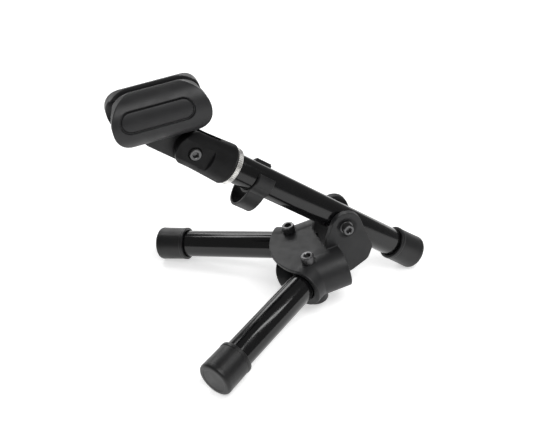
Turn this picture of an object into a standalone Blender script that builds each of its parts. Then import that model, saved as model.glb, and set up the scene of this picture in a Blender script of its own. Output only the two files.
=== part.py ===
"""Low microphone stand: a moulded hub, two folding tube legs, a tilting tube boom and a push-in mic clip.

Every dimension, frame and mesh below is in millimetres; finish() turns each piece into metres.
The world frame is +Z up with the floor at Z = 0 and the stand symmetric about the XZ plane.  Every piece
is drawn in a local frame whose x runs forward along the piece, y to the stand's left and z up out of it.
"""
import math

import bmesh
import bpy
from mathutils import Matrix, Vector

MM = 0.001

# Steel tube and rubber end caps
TUBE_R = 11.0
TUBE_BORE_R = 9.8
CAP_R = 13.5
CAP_BORE_R = 11.3
CAP_LENGTH = 25.0
CAP_END_WALL = 4.5
CAP_SHOULDER_R = 2.2
FOOT_FLAT = 0.3          # how far the floor flattens each rubber foot

# Boom
BOOM_INCLINE = 38.04     # degrees above the floor
BOOM_REAR = 81.7         # bolt to the rear cap's end
BOOM_FRONT = 100.8       # bolt to the tube's front end

# Legs
LEG_SPREAD = 35.0        # degrees either side of the stand's centre plane
LEG_REACH = 118.7        # leg screw to the cap's end
LEG_BEHIND = 12.0        # tube behind the leg screw

# Hub
SCREW_FORWARD = 36.2     # leg screws ahead of the boom bolt
SCREW_SIDE = 22.7        # leg screws either side of the centre plane
BOLT_RISE = 26.6         # boom bolt above the legs' plane
PLATE_TOP = 14.0
GAP_HALF = 11.3
ROLL_R = 15.8
ROLL_LOW = -1.4
ROLL_REAR = 9.8
BORE_R = 11.4
COLLAR_LENGTH = 14.0
PLATE_REAR = 18.7
PLATE_FRONT = 58.5
SLOT_HALF = 11.4
EAR_OUT = 16.4
EAR_R = 12.4
BOSS_R = 9.2
BOSS_LOW = -21.5

# Head, measured along the boom from its bolt
RING_LOW = 101.1
RING_HIGH = 104.9
RING_R = 13.8
KNUCKLE_LOW = 105.2
PIVOT = 136.0
FORK_R = 13.5
CHEEK = 11.4
FORK_SLOT = 2.3

# Microphone clip
CLIP_PITCH = 5.0         # degrees the channel leans down at the front
CHANNEL_X = 16.5
CHANNEL_Z = 33.6
CHANNEL_R = 13.5
CLIP_R = 19.5
CLIP_LENGTH = 66.4
CLIP_BOTTOM = -18.9
CLIP_TOP = 19.1
CLIP_END_R = 18.5
MOUTH_HALF = 3.4
PANEL_X = 19.0           # long recess in each jaw
PANEL_RISE = 3.8
PANEL_LENGTH = 50.0
PANEL_HEIGHT = 15.0
PANEL_DEPTH = 0.9
TONGUE_HALF = 2.0
TONGUE_R = 12.3

# Cable clip on the boom
CABLE_LOW = 71.0
CABLE_HIGH = 85.0

# Where the boom bolt stands in the world frame
BOLT_X = 43.97


def foot_drop(slope):
    """Height of a sloping cap's end centre above its lowest point."""
    turn = math.sin(slope) + math.cos(slope) - 1.0
    return CAP_R * math.cos(slope) - CAP_SHOULDER_R * turn - FOOT_FLAT


def hub_lean(bolt_height):
    """Tilt of the legs' plane that lands both leg caps on the floor."""
    reach = SCREW_FORWARD + LEG_REACH * math.cos(math.radians(LEG_SPREAD))
    low = 0.0
    high = math.radians(30.0)
    for _ in range(60):
        tilt = 0.5 * (low + high)
        slope = math.asin(math.sin(tilt) * math.cos(math.radians(LEG_SPREAD)))
        tip = bolt_height - BOLT_RISE * math.cos(tilt) - reach * math.sin(tilt)
        if tip > foot_drop(slope):
            low = tilt
        else:
            high = tilt
    return low


def leaning_frame(x, z, angle):
    """Frame at (x, 0, z): x forward and down by the angle, y to the left, z up."""
    turn = Matrix.Rotation(math.pi, 4, 'Z') @ Matrix.Rotation(angle, 4, 'Y')
    return Matrix.Translation((x, 0.0, z)) @ turn


def shifted(frame, x, y, z, turn=0.0):
    """The frame moved within itself and turned about its own z."""
    return frame @ Matrix.Translation((x, y, z)) @ Matrix.Rotation(turn, 4, 'Z')


INCLINE = math.radians(BOOM_INCLINE)
SPREAD = math.radians(LEG_SPREAD)
BOLT_Z = BOOM_REAR * math.sin(INCLINE) + foot_drop(INCLINE)
LEAN = hub_lean(BOLT_Z)
HUB_X = BOLT_X + BOLT_RISE * math.sin(LEAN)
HUB_Z = BOLT_Z - BOLT_RISE * math.cos(LEAN)
PIVOT_X = BOLT_X - PIVOT * math.cos(INCLINE)
PIVOT_Z = BOLT_Z + PIVOT * math.sin(INCLINE)

HUB = leaning_frame(HUB_X, HUB_Z, LEAN)
BOOM = leaning_frame(BOLT_X, BOLT_Z, -INCLINE)
HEAD = shifted(BOOM, PIVOT, 0.0, 0.0)
CLIP = leaning_frame(PIVOT_X, PIVOT_Z, math.radians(CLIP_PITCH))
SIDES = {'left': 1.0, 'right': -1.0}


def clear_scene():
    for item in list(bpy.data.objects):
        bpy.data.objects.remove(item, do_unlink=True)


def finish_material(name, colour, roughness, metallic):
    material = bpy.data.materials.new(name)
    material.use_nodes = True
    shader = material.node_tree.nodes['Principled BSDF']
    shader.inputs['Base Color'].default_value = (*colour, 1.0)
    shader.inputs['Roughness'].default_value = roughness
    shader.inputs['Metallic'].default_value = metallic
    return material


# ---------------------------------------------------------------- outlines

def arc(cx, cy, radius, start, end, steps):
    """Points round a circle, angles in degrees, both ends included."""
    points = []
    for index in range(steps + 1):
        angle = math.radians(start + (end - start) * index / steps)
        points.append((cx + radius * math.cos(angle), cy + radius * math.sin(angle)))
    return points


def rounded(corners, steps=5):
    """Closed outline from (x, y, radius) corners."""
    outline = []
    count = len(corners)
    for index in range(count):
        before = Vector(corners[index - 1][:2])
        corner = Vector(corners[index][:2])
        after = Vector(corners[(index + 1) % count][:2])
        radius = corners[index][2]
        if radius == 0.0:
            outline.append(tuple(corner))
            continue
        back = (before - corner).normalized()
        ahead = (after - corner).normalized()
        half = 0.5 * math.acos(max(-1.0, min(1.0, back.dot(ahead))))
        reach = radius / math.tan(half)
        centre = corner + (back + ahead).normalized() * (radius / math.sin(half))
        first = corner + back * reach - centre
        last = corner + ahead * reach - centre
        start = math.atan2(first.y, first.x)
        sweep = math.atan2(last.y, last.x) - start
        sweep = (sweep + math.pi) % (2.0 * math.pi) - math.pi
        for step in range(steps + 1):
            angle = start + sweep * step / steps
            outline.append((centre.x + radius * math.cos(angle), centre.y + radius * math.sin(angle)))
    return outline


def smooth_path(points, steps):
    """Catmull-Rom curve through the points."""
    path = []
    ends = [points[0]] + list(points) + [points[-1]]
    for index in range(1, len(ends) - 2):
        a, b, c, d = (Vector(ends[index + k]) for k in (-1, 0, 1, 2))
        for step in range(steps):
            t = step / steps
            point = 0.5 * ((2 * b) + (c - a) * t + (2 * a - 5 * b + 4 * c - d) * t * t
                           + (3 * b - a - 3 * c + d) * t ** 3)
            path.append(tuple(point))
    path.append(tuple(points[-1]))
    return path


def strip(path, half):
    """Closed outline of a strip that follows the path."""
    left = []
    right = []
    for index, point in enumerate(path):
        ahead = Vector(path[min(index + 1, len(path) - 1)]) - Vector(path[max(index - 1, 0)])
        side = Vector((-ahead.y, ahead.x)).normalized() * half
        left.append((point[0] + side.x, point[1] + side.y))
        right.append((point[0] - side.x, point[1] - side.y))
    return left + right[::-1]


def hexagon(flats, cx=0.0, cy=0.0):
    return arc(cx, cy, flats / math.sqrt(3.0), 0.0, 300.0, 5)


def stadium(cx, cy, length, height):
    """Slot outline: straight sides with half-round ends."""
    radius = 0.5 * height
    half = 0.5 * length - radius
    return arc(cx + half, cy, radius, -90.0, 90.0, 12) + arc(cx - half, cy, radius, 90.0, 270.0, 12)


# ------------------------------------------------------------------ solids

def solid(vertices, faces):
    """Closed mesh object from vertices and faces, with the faces turned outwards."""
    mesh = bpy.data.meshes.new('solid')
    shape = bmesh.new()
    made = [shape.verts.new(vertex) for vertex in vertices]
    for face in faces:
        shape.faces.new([made[index] for index in face])
    bmesh.ops.recalc_face_normals(shape, faces=shape.faces)
    shape.to_mesh(mesh)
    shape.free()
    body = bpy.data.objects.new('solid', mesh)
    bpy.context.scene.collection.objects.link(body)
    return body


def placed(a, b, h, along):
    """Point from in-plane coordinates a, b and position h along the named axis."""
    if along == 'x':
        return (h, a, b)
    if along == 'y':
        return (a, h, b)
    return (a, b, h)


def prism(outline, low, high, along='z'):
    count = len(outline)
    vertices = [placed(a, b, low, along) for a, b in outline]
    vertices += [placed(a, b, high, along) for a, b in outline]
    faces = [list(range(count)), list(range(2 * count - 1, count - 1, -1))]
    for index in range(count):
        after = (index + 1) % count
        faces.append([index, after, count + after, count + index])
    return solid(vertices, faces)


def block(low, high):
    outline = [(low[0], low[1]), (high[0], low[1]), (high[0], high[1]), (low[0], high[1])]
    return prism(outline, low[2], high[2], 'z')


def turned(profile, along='x', centre=(0.0, 0.0), segments=40, phase=0.0):
    """Solid of revolution from (position, radius) pairs.

    A profile that starts and ends on the axis makes a solid; any other is closed into a ring.
    The phase turns the facets by a fraction of one facet.
    """
    ring_count = len(profile)
    starts = []
    vertices = []
    for position, radius in profile:
        starts.append(len(vertices))
        if radius == 0.0:
            vertices.append(placed(centre[0], centre[1], position, along))
            continue
        for index in range(segments):
            angle = 2.0 * math.pi * (index + phase) / segments
            a = centre[0] + radius * math.cos(angle)
            b = centre[1] + radius * math.sin(angle)
            vertices.append(placed(a, b, position, along))
    on_axis = profile[0][1] == 0.0 and profile[-1][1] == 0.0
    faces = []
    for ring in range(ring_count - 1 if on_axis else ring_count):
        after = (ring + 1) % ring_count
        for index in range(segments):
            step = (index + 1) % segments
            face = []
            if profile[ring][1] == 0.0:
                face.append(starts[ring])
            else:
                face += [starts[ring] + index, starts[ring] + step]
            if profile[after][1] == 0.0:
                face.append(starts[after])
            else:
                face += [starts[after] + step, starts[after] + index]
            faces.append(face)
    return solid(vertices, faces)


def rod(radius, low, high, along='x', centre=(0.0, 0.0), segments=40, phase=0.0):
    return turned([(low, 0.0), (low, radius), (high, radius), (high, 0.0)], along, centre, segments, phase)


def drill(radius, low, high, along, centre=(0.0, 0.0), segments=24):
    """Hole tool whose facets line up with nothing else."""
    return rod(radius, low, high, along, centre, segments, 0.31)


def sleeve(outer, inner, low, high, along='x', centre=(0.0, 0.0), segments=40):
    return turned([(low, inner), (low, outer), (high, outer), (high, inner)], along, centre, segments)


def carve(body, operation, tool):
    """Applies one exact Boolean to the body and discards the tool."""
    modifier = body.modifiers.new(operation.lower(), 'BOOLEAN')
    modifier.operation = operation
    modifier.solver = 'EXACT'
    modifier.object = tool
    bpy.context.view_layer.update()
    graph = bpy.context.evaluated_depsgraph_get()
    result = bpy.data.meshes.new_from_object(body.evaluated_get(graph))
    body.modifiers.clear()
    body.data = result
    bpy.data.objects.remove(tool, do_unlink=True)
    return body


def cut(body, *tools):
    for tool in tools:
        carve(body, 'DIFFERENCE', tool)
    return body


def add(body, *tools):
    for tool in tools:
        carve(body, 'UNION', tool)
    return body


def keep(body, tool):
    return carve(body, 'INTERSECT', tool)


def turn_about_z(body, angle, x, y):
    """Turns a tool's mesh about its own z and moves it, in place."""
    body.data.transform(Matrix.Translation((x, y, 0.0)) @ Matrix.Rotation(angle, 4, 'Z'))
    return body


def finish(body, name, frame, material):
    """Names, shades and places a finished piece, in metres."""
    body.data.transform(Matrix.Scale(MM, 4))
    body.name = name
    body.data.name = name
    body.data.materials.clear()
    body.data.materials.append(material)
    body.data.shade_smooth()
    body.data.set_sharp_from_angle(angle=math.radians(32.0))
    body.matrix_world = Matrix.Translation((MM - 1.0) * frame.to_translation()) @ frame
    return body


# --------------------------------------------------------------------- hub

def beside_leg(along, out):
    """Point of the left leg's plane in hub coordinates."""
    x = SCREW_FORWARD + along * math.cos(SPREAD) - out * math.sin(SPREAD)
    y = SCREW_SIDE + along * math.sin(SPREAD) + out * math.cos(SPREAD)
    return (x, y)


def plate_outline():
    """Outline of both plates: curved front, collar mouths, sides along the legs, straight rear sides."""
    edge = COLLAR_LENGTH - 0.15
    corner = beside_leg(edge, -3.4)
    centre = (PLATE_FRONT ** 2 - corner[0] ** 2 - corner[1] ** 2) / (2.0 * (PLATE_FRONT - corner[0]))
    half = math.degrees(math.atan2(corner[1], corner[0] - centre))
    front = arc(centre, 0.0, PLATE_FRONT - centre, -half, half, 22)
    side = SCREW_SIDE + 0.37
    left = [beside_leg(edge, 0.4), (SCREW_FORWARD, side), (ROLL_REAR + 0.2, side)]
    right = [(x, -y) for x, y in left[::-1]]
    return front + left + right


def ear_outline():
    """Side view of the two plates that hold the boom bolt."""
    top = arc(0.0, BOLT_RISE, EAR_R, 25.0, 164.5, 14)
    front = [(20.3, 12.4, 0.0), (18.9, 14.0, 0.0), (17.1, 21.4, 6.0)]
    rear = [(-17.9, 1.6, 6.0), (-12.4, -8.4, 8.0), (3.6, -14.6, 6.0), (14.0, -12.4, 0.0), (20.3, -12.4, 0.0)]
    corners = front + [(x, z, 0.0) for x, z in top] + rear
    return rounded(corners, 4)


def roll(side, radius, low, high, height):
    return rod(radius, low, high, 'x', (side * SCREW_SIDE, height), 44)


def collar(side, radius, low, high, height):
    section = arc(0.0, height, radius, -127.0, 101.5, 25) + [(-2.9, 0.0), (-9.0, height - 0.6 * radius)]
    body = prism([(side * y, z) for y, z in section], low, high, 'x')
    return turn_about_z(body, side * SPREAD, SCREW_FORWARD, side * SCREW_SIDE)


def gap_outline():
    """Space between the plates that the folding legs sweep."""
    far = 45.0
    side = SCREW_SIDE - 0.43
    out = (SCREW_FORWARD + far * math.cos(SPREAD), side + far * math.sin(SPREAD))
    left = [(17.0, side), (SCREW_FORWARD, side), out]
    right = [(x, -y) for x, y in left[::-1]]
    return left + right


def make_hub(material):
    body = prism(plate_outline(), -PLATE_TOP, PLATE_TOP)
    for side in SIDES.values():
        inner = side * (SLOT_HALF - 1.0)
        outer = side * EAR_OUT
        add(body, roll(side, ROLL_R, ROLL_REAR, SCREW_FORWARD + 0.9, ROLL_LOW))
        add(body, collar(side, ROLL_R, -1.3, COLLAR_LENGTH, ROLL_LOW))
        add(body, prism(ear_outline(), min(inner, outer), max(inner, outer), 'y'))
        add(body, rod(BOSS_R, BOSS_LOW, -12.5, 'z', (SCREW_FORWARD, side * SCREW_SIDE), 36, 0.17))
    cut(body, block((-60.0, -SLOT_HALF, -60.0), (PLATE_REAR, SLOT_HALF, 60.0)))
    cut(body, prism(gap_outline(), -GAP_HALF, GAP_HALF))
    for side in SIDES.values():
        centre = (SCREW_FORWARD, side * SCREW_SIDE)
        cut(body, roll(side, BORE_R, 17.6, SCREW_FORWARD + 2.5, 0.0))
        cut(body, collar(side, BORE_R, -2.5, COLLAR_LENGTH + 8.0, 0.0))
        cut(body, drill(3.3, -30.0, 30.0, 'z', centre))
        cut(body, drill(6.2, PLATE_TOP - 0.1, 24.0, 'z', centre, 34))
        cut(body, prism(hexagon(10.6, *centre), -30.0, -16.0))
    cut(body, drill(2.8, -40.0, 40.0, 'y', (0.0, BOLT_RISE)))
    dish = [(15.0, 0.0), (15.0, 5.6), (16.5, 8.6), (18.0, 8.6), (18.0, 0.0)]
    cut(body, turned(dish, 'y', (0.0, BOLT_RISE), 36, 0.43))
    cut(body, prism(hexagon(8.6, 0.0, BOLT_RISE), -30.0, -13.4, 'y'))
    return finish(body, 'hub_body', HUB, material)


# -------------------------------------------------------------------- legs

def cap_profile(reach):
    """Closed-ended rubber cap on a tube whose cap ends at +reach."""
    mouth = reach - CAP_LENGTH
    shoulder = arc(reach - CAP_SHOULDER_R, CAP_R - CAP_SHOULDER_R, CAP_SHOULDER_R, 90.0, 0.0, 4)
    inner = reach - CAP_END_WALL
    outside = [(mouth, CAP_BORE_R), (mouth, CAP_R - 0.5), (mouth + 0.5, CAP_R)] + shoulder
    return [(inner, 0.0), (inner, CAP_BORE_R)] + outside + [(reach, 0.0)]


def flatten_on_floor(body, frame):
    """Trims what would sink below the floor once the piece stands in its frame."""
    below = block((-300.0, -300.0, -60.0), (300.0, 300.0, 0.0))
    below.data.transform(frame.inverted())
    cut(body, below)


def make_leg(side_name, materials):
    side = SIDES[side_name]
    frame = shifted(HUB, SCREW_FORWARD, side * SCREW_SIDE, 0.0, side * SPREAD)
    upright = shifted(HUB, SCREW_FORWARD, side * SCREW_SIDE, 0.0)
    tube = sleeve(TUBE_R, TUBE_BORE_R, -LEG_BEHIND, LEG_REACH - CAP_END_WALL - 0.3)
    cut(tube, drill(3.3, -20.0, 20.0, 'z'))
    finish(tube, 'leg_tube_' + side_name, frame, materials['paint'])
    plug = rod(TUBE_BORE_R - 0.3, -LEG_BEHIND, LEG_BEHIND, 'x', (0.0, 0.0), 32)
    cut(plug, drill(3.3, -20.0, 20.0, 'z'))
    finish(plug, 'leg_plug_' + side_name, frame, materials['plastic'])
    cap = turned(cap_profile(LEG_REACH))
    flatten_on_floor(cap, frame)
    finish(cap, 'leg_cap_' + side_name, frame, materials['rubber'])
    screw = turned([(-20.5, 0.0), (-20.5, 2.6), (-20.1, 3.0), (14.2, 3.0), (14.2, 5.0), (19.8, 5.0),
                    (20.2, 4.6), (20.2, 0.0)], 'z', (0.0, 0.0), 28)
    cut(screw, prism(hexagon(5.0), 17.0, 25.0))
    finish(screw, 'leg_screw_' + side_name, upright, materials['steel'])
    nut = prism(hexagon(10.0), -20.6, -16.3)
    cut(nut, drill(3.3, -30.0, 0.0, 'z'))
    finish(nut, 'leg_nut_' + side_name, upright, materials['steel'])


# -------------------------------------------------------------------- boom

def make_boom(materials):
    tube = sleeve(TUBE_R, TUBE_BORE_R, CAP_END_WALL + 0.3 - BOOM_REAR, BOOM_FRONT)
    cut(tube, drill(2.8, -20.0, 20.0, 'y'))
    finish(tube, 'boom_tube', BOOM, materials['paint'])
    backward = [(-position, radius) for position, radius in cap_profile(BOOM_REAR)]
    cap = turned(backward)
    flatten_on_floor(cap, BOOM)
    finish(cap, 'boom_cap', BOOM, materials['rubber'])
    bolt = turned([(-17.6, 0.0), (-17.6, 2.1), (-17.2, 2.5), (16.4, 2.5), (16.4, 4.25), (20.8, 4.25),
                   (21.1, 3.9), (21.1, 0.0)], 'y', (0.0, 0.0), 28)
    cut(bolt, prism(hexagon(4.0), 18.6, 25.0, 'y'))
    finish(bolt, 'boom_bolt', BOOM, materials['steel'])
    washer = sleeve(5.0, 2.8, 15.3, 16.1, 'y', (0.0, 0.0), 28)
    finish(washer, 'boom_washer', BOOM, materials['steel'])
    nut = prism(hexagon(8.0), -17.7, -13.7, 'y')
    cut(nut, drill(2.8, -30.0, 0.0, 'y'))
    finish(nut, 'boom_nut', shifted(HUB, 0.0, 0.0, BOLT_RISE), materials['steel'])
    spacer = sleeve(4.0, 2.8, -8.6, 8.6, 'y', (0.0, 0.0), 24)
    finish(spacer, 'boom_sleeve', BOOM, materials['steel'])
    stud = turned([(78.0, 0.0), (78.0, 9.0), (78.5, 9.5), (99.9, 9.5), (99.9, 7.9), (115.9, 7.9),
                   (116.5, 7.3), (116.5, 0.0)], 'x', (0.0, 0.0), 36)
    finish(stud, 'thread_stud', BOOM, materials['zinc'])


def make_cable_clip(material):
    """Snap band round the boom with a hanging loop for the cable, drawn across the boom."""
    band = arc(0.0, 0.0, 13.1, 34.0, -240.0, 42) + arc(0.0, 0.0, 11.3, -240.0, 34.0, 42)
    body = prism(band, CABLE_LOW, CABLE_HIGH, 'x')
    pad = arc(0.0, 0.0, 13.9, 33.0, -3.0, 6) + arc(0.0, 0.0, 12.0, -3.0, 33.0, 6)
    add(body, prism(pad, CABLE_LOW + 0.4, CABLE_HIGH - 0.4, 'x'))
    lip = arc(0.0, 0.0, 14.2, -213.0, -239.0, 6) + arc(0.0, 0.0, 12.0, -239.0, -213.0, 6)
    add(body, prism(lip, CABLE_LOW + 0.6, CABLE_HIGH - 0.6, 'x'))
    knots = [(9.3, -7.4), (8.9, -12.6), (6.4, -19.5), (1.6, -24.4), (-3.6, -25.4), (-9.0, -23.5),
             (-13.3, -17.4), (-14.3, -10.0), (-12.0, -2.4)]
    loop = strip(smooth_path(knots, 4), 0.85)
    add(body, prism(loop, CABLE_LOW + 0.2, CABLE_HIGH - 0.2, 'x'))
    return finish(body, 'cable_clip', BOOM, material)


# -------------------------------------------------------------------- head

def make_head(materials):
    ring = turned([(RING_LOW, 8.2), (RING_LOW, RING_R - 0.4), (RING_LOW + 0.4, RING_R), (RING_HIGH - 0.4, RING_R),
                   (RING_HIGH, RING_R - 0.4), (RING_HIGH, 8.2)], 'x', (0.0, 0.0), 48)
    finish(ring, 'lock_ring', BOOM, materials['zinc'])
    shift = -PIVOT
    skin = [(KNUCKLE_LOW, 0.0), (KNUCKLE_LOW, 13.3), (105.9, 14.4), (107.3, 15.1), (110.5, 14.9), (121.0, 14.2),
            (132.0, 13.62), (152.0, 13.62), (152.0, 0.0)]
    body = turned([(s + shift, r) for s, r in skin], 'x', (0.0, 0.0), 44, 0.19)
    side_view = arc(0.0, 0.0, FORK_R, 78.0, -78.0, 18) + [(-45.0, -20.0), (-45.0, 20.0)]
    keep(body, prism(side_view, -30.0, 30.0, 'y'))
    for side in SIDES.values():
        cheek = [(-15.0, side * 20.0), (-12.2, side * CHEEK), (30.0, side * CHEEK), (30.0, side * 20.0)]
        cut(body, prism(cheek, -30.0, 30.0))
    cut(body, block((-16.0, -FORK_SLOT, -30.0), (30.0, FORK_SLOT, 30.0)))
    cut(body, drill(9.3, KNUCKLE_LOW + shift - 5.0, 117.3 + shift, 'x', (0.0, 0.0), 36))
    cut(body, drill(2.8, -30.0, 30.0, 'y'))
    cut(body, drill(4.6, 8.1, 30.0, 'y', (0.0, 0.0), 28))
    cut(body, prism(hexagon(8.6), -30.0, -8.1, 'y'))
    finish(body, 'knuckle', HEAD, materials['plastic'])
    insert = sleeve(9.0, 8.2, KNUCKLE_LOW + 0.3 + shift, 117.0 + shift, 'x', (0.0, 0.0), 36)
    finish(insert, 'thread_insert', HEAD, materials['brass'])
    screw = turned([(-11.9, 0.0), (-11.9, 2.1), (-11.5, 2.5), (8.4, 2.5), (8.4, 4.25), (13.0, 4.25),
                    (13.3, 3.9), (13.3, 0.0)], 'y', (0.0, 0.0), 28)
    cut(screw, prism(hexagon(4.0), 10.8, 20.0, 'y'))
    finish(screw, 'knuckle_screw', HEAD, materials['steel'])
    nut = prism(hexagon(8.0), -12.4, -8.4, 'y')
    cut(nut, drill(2.8, -30.0, 0.0, 'y'))
    finish(nut, 'knuckle_nut', HEAD, materials['steel'])


def make_mic_clip(material):
    """Rubber channel with a slot along its top, on a tongue that fits between the knuckle's cheeks."""
    rear = CHANNEL_X - 0.5 * CLIP_LENGTH
    front = CHANNEL_X + 0.5 * CLIP_LENGTH
    body = rod(CLIP_R, rear, front, 'x', (0.0, CHANNEL_Z), 52)
    low = CHANNEL_Z + CLIP_BOTTOM
    high = CHANNEL_Z + CLIP_TOP
    corners = [(rear + 1.2, low, CLIP_END_R), (front - 0.6, low, CLIP_END_R), (front + 0.7, high, CLIP_END_R),
               (rear - 1.2, high, CLIP_END_R)]
    keep(body, prism(rounded(corners, 9), -40.0, 40.0, 'y'))
    foot = math.degrees(math.asin(8.0 / TONGUE_R))
    tongue = arc(0.0, 0.0, TONGUE_R, -foot, -188.0, 20)
    tongue += [(-5.4, 12.0), (-3.4, 15.4), (-3.0, 18.0), (31.0, 18.0), (31.9, 14.8), (29.2, 10.7)]
    add(body, prism(tongue, -TONGUE_HALF, TONGUE_HALF, 'y'))
    cut(body, drill(CHANNEL_R, rear - 5.0, front + 5.0, 'x', (0.0, CHANNEL_Z), 44))
    mouth = [(-MOUTH_HALF - 2.2, CHANNEL_Z + 24.0), (-MOUTH_HALF, CHANNEL_Z + 17.2), (-MOUTH_HALF, CHANNEL_Z + 14.2),
             (-MOUTH_HALF - 2.4, CHANNEL_Z + 9.0), (MOUTH_HALF + 2.4, CHANNEL_Z + 9.0),
             (MOUTH_HALF, CHANNEL_Z + 14.2), (MOUTH_HALF, CHANNEL_Z + 17.2), (MOUTH_HALF + 2.2, CHANNEL_Z + 24.0)]
    cut(body, prism(mouth, rear - 5.0, front + 5.0, 'x'))
    panel = stadium(PANEL_X, CHANNEL_Z + PANEL_RISE, PANEL_LENGTH, PANEL_HEIGHT)
    for side in SIDES.values():
        inner = side * 0.4 * CLIP_R
        outer = side * (CLIP_R + 6.0)
        recess = prism(panel, min(inner, outer), max(inner, outer), 'y')
        cut(recess, rod(CLIP_R - PANEL_DEPTH, rear - 9.0, front + 9.0, 'x', (0.0, CHANNEL_Z), 52))
        cut(body, recess)
    cut(body, drill(2.8, -20.0, 20.0, 'y'))
    return finish(body, 'mic_clip', CLIP, material)


def main():
    clear_scene()
    materials = {
        'moulding': finish_material('hub_moulding', (0.030, 0.031, 0.033), 0.55, 0.0),
        'paint': finish_material('black_gloss_paint', (0.012, 0.012, 0.013), 0.18, 0.0),
        'plastic': finish_material('black_matt_plastic', (0.024, 0.024, 0.026), 0.6, 0.0),
        'rubber': finish_material('black_rubber', (0.020, 0.020, 0.021), 0.7, 0.0),
        'clip_rubber': finish_material('dark_grey_clip_rubber', (0.036, 0.036, 0.038), 0.5, 0.0),
        'nylon': finish_material('black_nylon', (0.020, 0.020, 0.022), 0.45, 0.0),
        'steel': finish_material('black_oxide_steel', (0.045, 0.045, 0.048), 0.35, 0.9),
        'zinc': finish_material('bright_zinc', (0.62, 0.61, 0.58), 0.25, 1.0),
        'brass': finish_material('insert_brass', (0.55, 0.42, 0.18), 0.3, 1.0),
    }
    make_hub(materials['moulding'])
    for side_name in SIDES:
        make_leg(side_name, materials)
    make_boom(materials)
    make_cable_clip(materials['nylon'])
    make_head(materials)
    make_mic_clip(materials['clip_rubber'])


main()
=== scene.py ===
"""Looks of the low microphone stand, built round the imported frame.

Each shape below is drawn in millimetres in its own local frame.
"""
import math

import bmesh
import bpy
from mathutils import Matrix, Vector


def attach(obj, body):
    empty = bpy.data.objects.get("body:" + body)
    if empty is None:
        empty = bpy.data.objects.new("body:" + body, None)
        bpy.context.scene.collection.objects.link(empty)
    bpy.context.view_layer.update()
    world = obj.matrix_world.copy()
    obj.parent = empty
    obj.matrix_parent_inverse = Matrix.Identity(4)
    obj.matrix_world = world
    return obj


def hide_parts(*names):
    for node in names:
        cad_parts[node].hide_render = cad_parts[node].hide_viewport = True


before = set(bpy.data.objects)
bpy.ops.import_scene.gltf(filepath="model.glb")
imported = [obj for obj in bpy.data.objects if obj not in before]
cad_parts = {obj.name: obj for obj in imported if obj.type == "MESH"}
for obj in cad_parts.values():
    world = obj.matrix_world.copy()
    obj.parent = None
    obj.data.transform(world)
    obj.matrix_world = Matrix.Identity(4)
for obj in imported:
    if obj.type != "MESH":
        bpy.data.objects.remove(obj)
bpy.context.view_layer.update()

MM = 0.001

# Shared dimensions, in millimetres and degrees
TUBE_R = 11.0
TUBE_BORE_R = 9.8
CAP_R = 13.5
CAP_BORE_R = 11.3
CAP_LENGTH = 25.0
CAP_END_WALL = 4.5
CAP_SHOULDER_R = 2.2
FOOT_FLAT = 0.3
BOOM_INCLINE = 38.04
BOOM_REAR = 81.7
BOOM_FRONT = 100.8
LEG_SPREAD = 35.0
LEG_REACH = 118.7
LEG_BEHIND = 12.0
SCREW_FORWARD = 36.2
SCREW_SIDE = 22.7
BOLT_RISE = 26.6
PLATE_TOP = 14.0
PLATE_FRONT = 58.5
PLATE_REAR = 18.7
GAP_HALF = 11.3
ROLL_R = 15.8
ROLL_LOW = -1.4
ROLL_REAR = 9.8
BORE_R = 11.4
COLLAR_LENGTH = 14.0
SLOT_HALF = 11.4
EAR_OUT = 16.4
EAR_R = 12.4
BOSS_R = 9.2
BOSS_LOW = -21.5
RING_LOW = 101.1
RING_HIGH = 104.9
RING_R = 13.8
KNUCKLE_LOW = 105.2
PIVOT = 136.0
FORK_R = 13.5
CHEEK = 11.4
FORK_SLOT = 2.3
CLIP_PITCH = 5.0
CHANNEL_X = 16.5
CHANNEL_Z = 33.6
CHANNEL_R = 13.5
CLIP_R = 19.5
CLIP_LENGTH = 66.4
CLIP_BOTTOM = -18.9
CLIP_TOP = 19.1
CLIP_END_R = 18.5
MOUTH_HALF = 3.4
PANEL_X = 19.0
PANEL_RISE = 3.8
PANEL_LENGTH = 50.0
PANEL_HEIGHT = 15.0
PANEL_DEPTH = 0.9
GROOVE_DEPTH = 1.7
TONGUE_HALF = 2.0
TONGUE_R = 12.3
CABLE_LOW = 71.0
CABLE_HIGH = 85.0
BOLT_X = 43.97

# Fasteners, in millimetres
M6_R = 3.0
M6_HOLE_R = 3.3
M6_HEAD_R = 5.0
M6_KEY = 5.0
M6_NUT_FLATS = 10.0
M6_POCKET_FLATS = 10.6
M5_R = 2.5
M5_HOLE_R = 2.8
M5_HEAD_R = 4.25
M5_KEY = 4.0
M5_NUT_FLATS = 8.0
M5_POCKET_FLATS = 8.6
THREAD_PITCH = 0.94
THREAD_ROOT_R = 7.25
THREAD_CREST_R = 7.85
THREAD_BORE_R = 8.2
THREAD_START = 100.6
THREAD_END = 115.6

# Half length of a cutting tool that has to reach through its piece
THROUGH = 30.0

# Grid of a rebuilt moulding, in millimetres
HUB_GRID = 0.4
HEAD_GRID = 0.3
CABLE_GRID = 0.22

# How much light the paper floor gives off by itself
PAPER_GLOW = 0.56

# Camera: direction in degrees, focal length in millimetres, and place from the boom bolt in metres
CAMERA_TURN = 14.9
CAMERA_RISE = 31.87
CAMERA_ROLL = -4.5
CAMERA_LENS = 55.09
CAMERA_FROM_BOLT = (-0.19094, -0.50104, 0.33775)


# ------------------------------------------------------------------ frames

def foot_drop(slope):
    """Height of the centre of a cap's end above the floor, with its tube at that slope."""
    turn = math.sin(slope) + math.cos(slope) - 1.0
    return CAP_R * math.cos(slope) - CAP_SHOULDER_R * turn - FOOT_FLAT


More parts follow.
